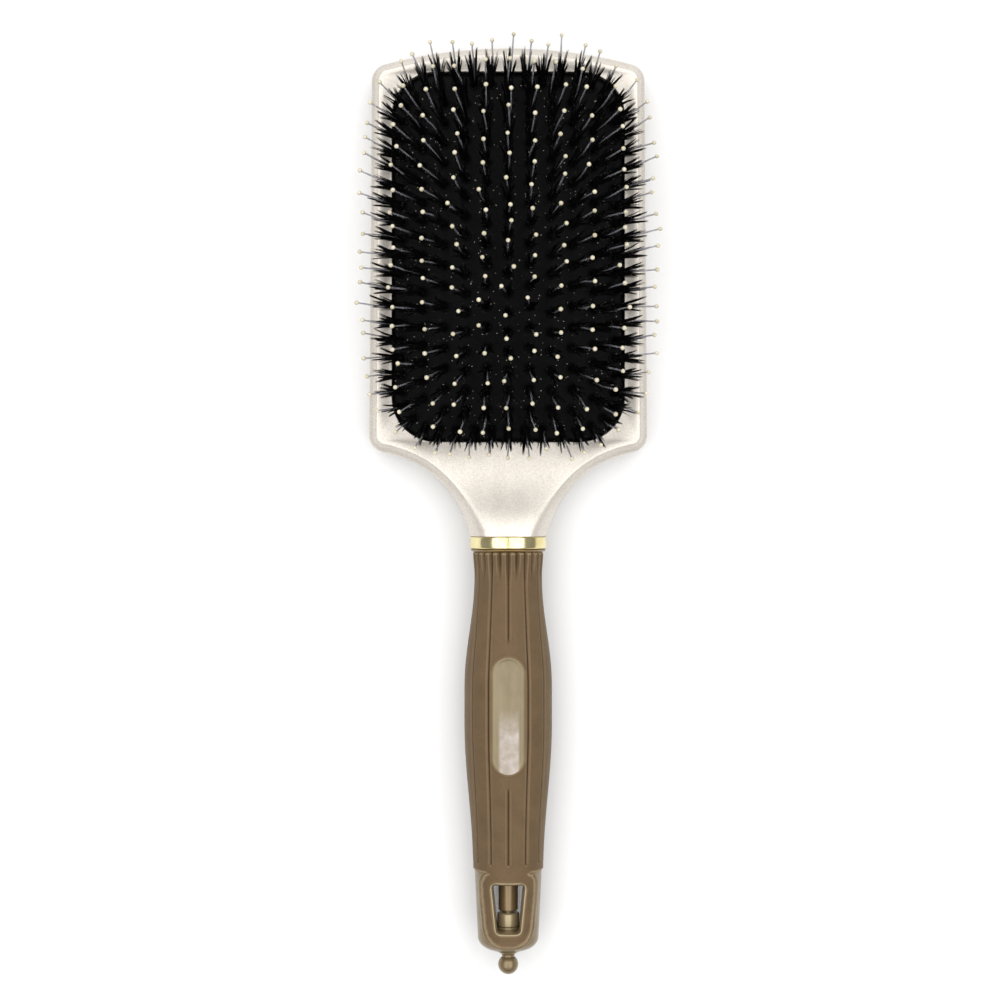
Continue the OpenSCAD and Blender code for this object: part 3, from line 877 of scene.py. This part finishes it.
def tuft_collars():
    """Low moulded collars where the tufts leave the membrane."""
    verts, faces = [], []
    section = [(1.75, -0.25), (1.55, 0.12), (1.3, 0.3), (1.1, 0.28), (0.95, 0.0)]
    n = 16
    angle = turn(n)
    for group in TUFTS:
        for foot, _ in tufts_of(group):
            slope_x = dome_z(foot[0] + 0.5, foot[1]) - dome_z(foot[0] - 0.5, foot[1])
            slope_y = dome_z(foot[0], foot[1] + 0.5) - dome_z(foot[0], foot[1] - 0.5)
            faces += ring_faces(len(section), n, len(verts) * n)
            for r, rise in section:
                x, y = r * np.cos(angle), r * np.sin(angle)
                z = foot[2] + slope_x * x + slope_y * y + rise
                verts.append(np.column_stack([foot[0] + x, foot[1] + y, z]))
    return piece("tuft_collars", np.concatenate(verts), faces, BLACK_RUBBER, "cushion", None, 60,
                 recalc=False)


# ---- Handle ----

GRIP_STATIONS = [(FLANGE_END_Y, WAIST_R + 0.5), (-89.5, WAIST_R), (-120.0, BELLY_R),
                 (-130.0, BELLY_R), (SLEEVE_END_Y, TAIL_R)]


def grip_r(y):
    """Radius of the soft grip along the handle."""
    y = np.asarray(y, float)
    out = np.full(y.shape, GRIP_STATIONS[0][1])
    for (ya, ra), (yb, rb) in zip(GRIP_STATIONS, GRIP_STATIONS[1:]):
        out = np.where(y < ya, mix(ra, rb, ease((ya - y) / (ya - yb))), out)
    return out


def end_r(y):
    """Radius of the hard end below the grip, with its rounded cap."""
    y = np.asarray(y, float)
    straight = mix(CORE_END_R, CAP_R, (SLEEVE_END_Y - y) / (SLEEVE_END_Y - CAP_START_Y))
    u = np.clip((CAP_START_Y - y) / (CAP_START_Y - HANDLE_END_Y), 0, 1)
    return np.where(y > CAP_START_Y, straight, CAP_R * (1 - u ** 2.5) ** 0.4)


V_X = 5.7
V_Y = -171.3
TONGUE_LIFT = 0.12


def tongue_loop():
    """Outline of the rubber tongue round the window, counter-clockwise from its top right."""
    shoulder_x, shoulder_y, foot_x, foot_y, low_y = V_X + 2.15, V_Y - 3.1, 7.0, -184.4, -192.3
    flare = [(mix(V_X, shoulder_x, math.sqrt(1 - (1 - t) ** 2)), mix(V_Y, shoulder_y, t))
             for t in np.linspace(0, 1, 24)]
    side = [(mix(shoulder_x, foot_x, t ** 1.5), mix(shoulder_y, foot_y, t))
            for t in np.linspace(0, 1, 30)]
    foot = [(foot_x * math.cos(a) ** (2 / 2.3), mix(foot_y, low_y, math.sin(a) ** (2 / 2.3)))
            for a in np.linspace(0, np.pi / 2, 40)]
    right = np.array(flare + side[1:] + foot[1:])
    left = right[::-1] * np.array([-1, 1])
    return right, np.concatenate([right, left[1:]])[::-1]


TONGUE_RIGHT, TONGUE = tongue_loop()


def rounded_corners(corners, r, n=8):
    """A counter-clockwise polygon with round corners."""
    points = []
    count = len(corners)
    corners = [np.array(p, float) for p in corners]
    for i, p in enumerate(corners):
        a, b = corners[i - 1] - p, corners[(i + 1) % count] - p
        a, b = a / np.linalg.norm(a), b / np.linalg.norm(b)
        half = math.acos(np.clip(a @ b, -1, 1)) / 2
        centre = p + (a + b) / np.linalg.norm(a + b) * r / math.sin(half)
        start = p + a * r / math.tan(half) - centre
        end = p + b * r / math.tan(half) - centre
        for t in np.linspace(0, 1, n):
            v = mix(start, end, t)
            points.append(centre + v / np.linalg.norm(v) * r)
    return np.array(points + points[:1])


WINDOW_HIGH_Y = -174.4
WINDOW_LOW_Y = -187.6
WINDOW = resample(rounded_corners([(4.4, WINDOW_HIGH_Y), (-4.4, WINDOW_HIGH_Y),
                                   (-3.05, WINDOW_LOW_Y), (3.05, WINDOW_LOW_Y)], 0.9), 132)
WINDOW_N = loop_normals(WINDOW)
LIP = 0.75


def front_weight(x, edge=V_X, fade=1.2):
    """1 near the middle of the front or back, falling to 0 past the tongue's shoulders."""
    return 1 - smooth((np.abs(x) - edge) / fade)


def tongue_r(y, x):
    """Radius of the rubber near the grip's end, where the tongue runs down to the hard end."""
    join = smooth((SLEEVE_END_Y + 3.5 - y) / 6.0)
    low = mix(grip_r(np.maximum(y, SLEEVE_END_Y)), end_r(np.minimum(y, SLEEVE_END_Y)) + TONGUE_LIFT,
              join)
    return np.where(y > SLEEVE_END_Y, mix(grip_r(y), low, front_weight(x)), low)


GROOVE_LOW_Y = -169.0
FLUTE_LOW_Y = -92.0
INLAY_GAP_Y = (-108.3, -146.4)


def groove_depths(theta, y, r):
    """Depth of the long grooves, with the short flutes between them, and of the slight ridges
    beside them. The grooves over the inlay stop short of it."""
    depth = np.zeros(theta.shape)
    belly = smooth((FLANGE_END_Y - 12 - y) / 18) * smooth((y - SLEEVE_END_Y) / 30)
    long_run = smooth((y - GROOVE_LOW_Y) / 0.8)
    flute = smooth((y - FLUTE_LOW_Y) / 8.0)
    broken = (smooth((y - INLAY_GAP_Y[0]) / 3.0)
              + long_run * smooth((INLAY_GAP_Y[1] - y) / 2.5))
    for k in range(-11, 13):
        from_back = abs(k) > 6
        fold = (12 - abs(k)) if from_back else abs(k)
        angle = math.radians(15) * fold * (1 - 0.085 * belly * (fold < 6))
        angle = (math.pi - angle) if from_back else angle
        angle = angle * (1 if k >= 0 else -1)
        across_groove = ((theta - angle + math.pi) % (2 * math.pi) - math.pi) * r
        run = broken if fold == 0 else long_run if k % 2 == 0 else flute
        depth += run * mix(0.4, 1.05, flute) * bump(across_groove, mix(0.3, 0.6, flute))
        depth -= run * 0.07 * bump(np.abs(across_groove) - 0.75, 0.25)
    return depth


INLAY_HALF = inlay_high[0]
INLAY_LOOP = resample(np.concatenate([
    arc((0, inlay_high[1] - INLAY_HALF), INLAY_HALF, 0, 180, 40),
    arc((0, inlay_low[1] + INLAY_HALF), INLAY_HALF, 180, 360, 40),
    [[INLAY_HALF, inlay_high[1] - INLAY_HALF]]]), 150)


def sleeve_end(theta):
    """Where the rubber ends round the handle, a little lower beside the tongues."""
    x = np.abs(CORE_END_R * np.sin(theta))
    return mix(V_Y, SLEEVE_END_Y, np.clip((x - V_X) / 3.05, 0, 1))


def patch(outer, rings, holes, grid_step, lift, side):
    """Surface over a flat outline, wrapped onto the handle's front (side 1) or back (side -1).
    lift gives the radius at points."""
    loops = rings + holes
    low, high = outer.min(axis=0), outer.max(axis=0)
    gx, gy = np.meshgrid(np.arange(low[0], high[0], grid_step),
                         np.arange(low[1], high[1], grid_step))
    gx = gx + (np.arange(gx.shape[0])[:, None] % 2) * grid_step / 2
    grid = np.column_stack([gx.ravel(), gy.ravel()])
    clear = depth_inside(grid, outer) > max(0.6, grid_step * 0.8)
    for loop in loops:
        clear &= np.abs(depth_inside(grid, loop)) > 0.45 * grid_step
    for hole in holes:
        clear &= ~inside(grid, hole)
    points = np.concatenate([outer] + loops + [grid[clear]])
    edges, start = [], 0
    for loop in [outer] + loops:
        edges += [(start + i, start + (i + 1) % len(loop)) for i in range(len(loop))]
        start += len(loop)
    flat, _, tris, *_ = delaunay_2d_cdt([Vector(p) for p in points], edges, [], 0, 1e-5)
    flat = np.array([tuple(p) for p in flat])
    tris = np.array(tris)
    middle = flat[tris].mean(axis=1)
    keep = inside(middle, outer)
    for hole in holes:
        keep &= ~inside(middle, hole)
    tris = tris[keep]
    r = lift(flat)
    z = AXIS_Z + side * np.sqrt(np.maximum(r ** 2 - flat[:, 0] ** 2, 0.01))
    if side < 0:
        tris = tris[:, ::-1]
    return np.column_stack([flat, z]), [tuple(t) for t in tris]


def skirt(loop, lift, drop, side, start):
    """A wall from a loop on the surface inwards by drop."""
    r = lift(loop)
    rows = []
    for inward in (0.0, drop):
        x = loop[:, 0] * (1 - inward / r)
        z = AXIS_Z + side * np.sqrt(np.maximum((r - inward) ** 2 - x ** 2, 0.01))
        rows.append(np.column_stack([x, loop[:, 1], z]))
    return np.concatenate(rows), ring_faces(2, len(loop), start)


def rounding(depth, reach, drop):
    """How far an edge has rolled down at a depth inside it."""
    t = np.clip(1 - depth / reach, 0, 1)
    return drop * (1 - np.sqrt(1 - t ** 2))


def rubber_grip():
    """The soft sleeve with its flutes, grooves and inlay recess, and its two tongues."""
    n, rows = 480, 300
    theta = turn(n, -np.pi)
    top_y = FLANGE_END_Y - 0.02
    fine = np.linspace(top_y, SLEEVE_END_Y, 2000)
    crowd = 1 + 5 * sum(bump(fine - end, 3.0) for end in (inlay_high[1] - 2, inlay_low[1] + 2))
    t = np.interp(np.linspace(0, 1, rows), np.cumsum(crowd) / crowd.sum(), np.linspace(0, 1, 2000))
    t = (t - t[0])[:, None] / (t[-1] - t[0])
    end_y = sleeve_end(theta)[None, :]
    y = mix(top_y, end_y, t)
    th = np.broadcast_to(theta, y.shape)
    x = grip_r(y) * np.sin(th)
    r = tongue_r(y, x)
    r = r - groove_depths(th, y, r)
    r = r - rounding(top_y - y, 0.5, 0.45)
    sides = 1 - front_weight(np.abs(x), V_X + 0.1, 0.5)
    r = r - sides * rounding(y - end_y, 0.5, 0.4)
    flat = np.column_stack([(r * np.sin(th)).ravel(), y.ravel()])
    near = ((np.cos(th).ravel() > 0) & (flat[:, 1] > inlay_low[1] - 2)
            & (flat[:, 1] < inlay_high[1] + 2))
    depth = np.full(len(flat), -9.0)
    depth[near] = depth_inside(flat[near], INLAY_LOOP)
    depth = depth.reshape(r.shape)
    r = r - 0.9 * smooth((depth - 0.02) / 0.35) + 0.10 * bump(depth + 0.3, 0.28)
    verts = around_axis(r, th, y).reshape(-1, 3)
    faces = ring_faces(rows, n)
    last, low_hem, top_hem = (rows - 1) * n, rows * n, (rows + 1) * n
    verts = np.concatenate([verts, around_axis(r[-1] - 1.1, theta, y[-1] + 0.1),
                            around_axis(r[0] - 1.2, theta, top_y)])
    for i in range(n):
        j = (i + 1) % n
        if abs(x[-1, i]) > V_X - 0.4:
            faces.append((last + i, last + j, low_hem + j, low_hem + i))
        faces.append((top_hem + i, top_hem + j, j, i))
    hole = WINDOW + LIP * WINDOW_N

    def lift(p):
        r_here = tongue_r(p[:, 1], p[:, 0])
        into = np.minimum(depth_inside(p, TONGUE), 2.0)
        top = p[:, 1] > V_Y - 0.9
        into = np.where(top & (np.abs(p[:, 0]) < V_X - 0.6), 2.0, into)
        fade = smooth((V_Y - p[:, 1]) / 0.8)
        from_hole = -depth_inside(p, hole)
        return r_here - fade * rounding(into, 0.5, 0.36) - rounding(from_hole, 0.35, 0.12)

    left = TONGUE_RIGHT[::-1] * np.array([-1, 1])
    band = [hole + d * WINDOW_N for d in (0.12, 0.3)]
    for side in (1, -1):
        # The tongue starts on the points of the sleeve's last row, so the two join unseen.
        row = verts[last:last + n][np.cos(theta) * side > 0]
        join = row[np.abs(row[:, 0]) < V_X - 0.05, :2]
        join = join[np.argsort(join[:, 0])]
        outer = np.concatenate([join, resample(TONGUE_RIGHT, 110)[1:],
                                resample(left, 110, True)[:-1]])[::-1]
        made, tris = patch(outer, band, [hole], 0.42, lift, side)
        gap = np.linalg.norm(made[:, None, :2] - row[None, :, :2], axis=2)
        on_row = gap.min(axis=1) < 0.01
        made[on_row] = row[gap.argmin(axis=1)[on_row]]
        tris = [tuple(len(verts) + i for i in tri) for tri in tris]
        verts = np.concatenate([verts, made])
        faces += tris
        for loop, walled in ((outer, len(outer) - len(join)), (hole, len(hole))):
            made, quads = skirt(loop, lift, 1.1, side, len(verts))
            verts = np.concatenate([verts, made])
            faces += quads[:walled]
    return piece("rubber_grip", verts, faces, GRIP, "root", "grip_sleeve", 50)


def hard_end():
    """The hard end of the handle, sunk under the rubber tongues, with its rounded cap."""
    n = 720
    theta = turn(n, -np.pi)
    a = np.linspace(0, np.pi / 2, 60)
    cap = [mix(CAP_START_Y, HANDLE_END_Y + 0.12, math.sin(t)) for t in a[1:]]
    ys = np.concatenate([np.linspace(SLEEVE_END_Y + 1.5, CAP_START_Y, 200), cap])
    y = np.broadcast_to(ys[:, None], (len(ys), n))
    th = np.broadcast_to(theta, y.shape)
    r = end_r(np.minimum(y, SLEEVE_END_Y)) - 0.25 * smooth((y - SLEEVE_END_Y) / 0.3)
    flat = np.column_stack([(r * np.sin(th)).ravel(), y.ravel()])
    sunk = depth_inside(flat, TONGUE).reshape(r.shape)
    r = r - 0.75 * smooth((sunk - 0.05) / 0.6) + 0.1 * bump(sunk + 0.28, 0.2)
    verts = around_axis(r, th, y).reshape(-1, 3)
    faces = ring_faces(len(ys), n)
    hole = WINDOW + 0.35 * WINDOW_N
    open_here = inside(verts[:, :2], hole)
    faces = [f for f in faces if not any(open_here[i] for i in f)]
    last_r = float(r[-1].mean())
    rim = [(last_r, HANDLE_END_Y + 0.12), (PLUG_R + 0.35, HANDLE_END_Y),
           (PLUG_R + 0.08, HANDLE_END_Y + 0.25), (PLUG_R + 0.06, WINDOW_LOW_Y)]
    faces += ring_faces(len(rim), n, len(verts))
    verts = np.concatenate([verts] + [around_axis(q, theta, yy) for q, yy in rim])
    return piece("hard_end", verts, faces, BRONZE, "root", "handle_core", 40)


def window_frame():
    """The raised hard lip round the window, and the window's walls, front to back."""
    def at(offset, lift, side):
        loop = WINDOW + offset * WINDOW_N
        r = tongue_r(loop[:, 1], loop[:, 0]) + lift
        z = AXIS_Z + side * np.sqrt(r ** 2 - loop[:, 0] ** 2)
        return np.column_stack([loop, z])
    section = [(LIP, -0.9), (LIP, -0.16), (LIP - 0.05, 0.0), (LIP - 0.16, 0.06), (LIP - 0.3, 0.0),
               (0.16, -0.42), (0.03, -0.58), (0.0, -0.8)]
    rows = [at(o, lift, 1) for o, lift in section] + [at(o, lift, -1) for o, lift in section[::-1]]
    rows.append(rows[0])
    return piece("window_frame", np.concatenate(rows), ring_faces(len(rows), len(WINDOW)), BRONZE,
                 "root", "handle_core", 40)


def core_flange():
    """The thin golden step between the ring and the rubber."""
    r, bore, top = 10.5, 8.4, RING_END_Y - 0.02
    profile = [(bore, top), (r - 0.25, top), (r, top - 0.14), (r, top - 0.32),
               (r - 0.25, FLANGE_END_Y + 0.18), (r - 0.55, FLANGE_END_Y), (bore, FLANGE_END_Y),
               (bore, top)]
    return turned("core_flange", profile, FLANGE_GOLD, "root", "handle_core", 128)


def gold_band():
    """The polished ring, with its edges rolled."""
    top, low, bore = NECK_END_Y - 0.03, RING_END_Y + 0.03, 7.2
    profile = ([(bore, top)] + round_over(RING_R - 0.5, top, RING_R - 0.05, top - 0.45)
               + [(RING_R, mix(top, low, 0.5))]
               + round_over(RING_R - 0.5, low, RING_R - 0.05, low + 0.45)[::-1]
               + [(bore, low), (bore, top)])
    return turned("gold_band", profile, GOLD, "root", "gold_ring", 160, 60)


def gel_pad():
    """The glossy thumb inlay: a bevelled border round a slightly sunk middle."""
    def lift(p):
        into = depth_inside(p, INLAY_LOOP)
        crest = 0.13 * smooth(into / 0.2) - 0.42 * smooth((into - 0.25) / 1.0)
        return grip_r(p[:, 1]) - 0.06 + crest
    rings = [INLAY_LOOP - d * loop_normals(INLAY_LOOP)
             for d in (0.08, 0.16, 0.26, 0.45, 0.7, 0.95, 1.15, 1.35)]
    verts, faces = patch(INLAY_LOOP, rings, [], 0.55, lift, 1)
    made, quads = skirt(INLAY_LOOP, lift, 1.2, 1, len(verts))
    return piece("gel_pad", np.concatenate([verts, made]), faces + quads, GEL, "root",
                 "gel_inlay", 60)


# ---- Pick ----

def socket_tube():
    """The tube that guides the pick, seen in the window."""
    r, bore, low, high = socket_high[0], 1.6, socket_low[1], socket_high[1]
    profile = [(bore, high), (r, high), (r, low + 0.35), (r - 0.3, low + 0.02),
               (bore + 0.15, low), (bore, low + 0.2), (bore, high)]
    return turned("socket_tube", profile, SHADED_SOCKET_BRONZE, "root", "pick_socket", 72)


def ball_knob():
    """Plug, collar, neck and ball of the pick."""
    end = HANDLE_END_Y
    groove = PLUG_TOP_Y - 3.65
    plug = [(0.01, PLUG_TOP_Y), (PLUG_R - 0.35, PLUG_TOP_Y), (PLUG_R, PLUG_TOP_Y - 0.35),
            (PLUG_R, groove), (PLUG_R - 0.2, groove - 0.1), (PLUG_R - 0.2, groove - 0.25),
            (PLUG_R, groove - 0.35), (PLUG_R, end + 0.15)]
    collar = [(COLLAR_R + 0.1, end - 0.02), (COLLAR_R, end - 0.2), (COLLAR_R - 0.1, end - 0.42),
              (2.2, end - 0.7), (KNOB_NECK_R + 0.08, end - 1.0)]
    meet = math.acos(KNOB_NECK_R / KNOB_BALL_R)
    ball = [(KNOB_BALL_R * math.cos(a), KNOB_BALL_Y + KNOB_BALL_R * math.sin(a))
            for a in np.linspace(meet, -np.pi / 2 + 0.02, 34)]
    return turned("ball_knob", plug + collar + ball, BRONZE, "pick", "pick_knob", 96, 40)


def spike():
    """The long tapered pick that the knob pulls out."""
    r, low, high = spike_high[0], spike_low[1], spike_high[1]
    shoulder, tip_r, tip_y = PLUG_TOP_Y + 10, 0.42, high - 0.4
    taper = [(mix(r, tip_r, t ** 1.1), mix(shoulder, tip_y, t)) for t in np.linspace(0, 1, 24)]
    tip = [(tip_r * math.cos(a), mix(tip_y, high, math.sin(a))) for a in np.linspace(0.2, 1.5, 6)]
    return turned("pick_needle", [(0.01, low), (r, low)] + taper + tip, BRONZE, "pick",
                  "pick_spike", 40)


front_frame()
back_shell()
cushion_membrane()
tuft_collars()
for group in TUFTS:
    bristles(group)
    ball_pins(group)
rubber_grip()
hard_end()
window_frame()
core_flange()
gold_band()
gel_pad()
socket_tube()
ball_knob()
spike()

for name, paint in (("neck_tenon", PEARL), ("pad_retainer", BLACK_PLASTIC),
                    ("tuft_anchors", BLACK_PLASTIC)):
    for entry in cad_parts[name].material_slots:
        entry.material = paint.mat


# ---- Studio ----

def studio_floor():
    p = Paint("studio_floor", roughness=0.9)
    p.colour(p.ramp(p.noise(300, 2), (0.4, (0.89, 0.89, 0.89)), (0.6, (0.905, 0.905, 0.905))))
    mesh = bpy.data.meshes.new("studio_floor")
    half = 12.0
    mesh.from_pydata([(-half, -half, 0), (half, -half, 0), (half, half, 0), (-half, half, 0)],
                     [], [(0, 1, 2, 3)])
    mesh.materials.append(p.mat)
    placed("studio_floor", mesh)


def studio():
    """An even white surround, and a broad soft light that shines down on each side."""
    scene = bpy.context.scene
    scene.view_settings.view_transform = "Standard"
    world = bpy.data.worlds.new("studio_world")
    world.use_nodes = True
    background = world.node_tree.nodes["Background"].inputs
    background["Color"].default_value = (1, 1, 1, 1)
    background["Strength"].default_value = 0.31
    scene.world = world
    for name, side in (("left_softbox", -1), ("right_softbox", 1)):
        light = bpy.data.lights.new(name, "AREA")
        light.shape = "RECTANGLE"
        light.size, light.size_y = 1.2, 3.4
        light.energy = 27.0
        placed(name, light).location = (side * 0.66, 0.45, 1.15)


def photo_camera():
    """Straight above the brush, far enough for the fan of the pins to read as it should."""
    data = bpy.data.cameras.new("camera")
    data.sensor_width = 36
    distance = 0.600
    frame_width = 0.280
    data.lens = 36 * distance / frame_width
    data.clip_start = 0.01
    made = placed("camera", data)
    made.location = (-0.0023, -0.0679, distance + AXIS_Z * MM)
    bpy.context.scene.camera = made


studio_floor()
studio()
photo_camera()
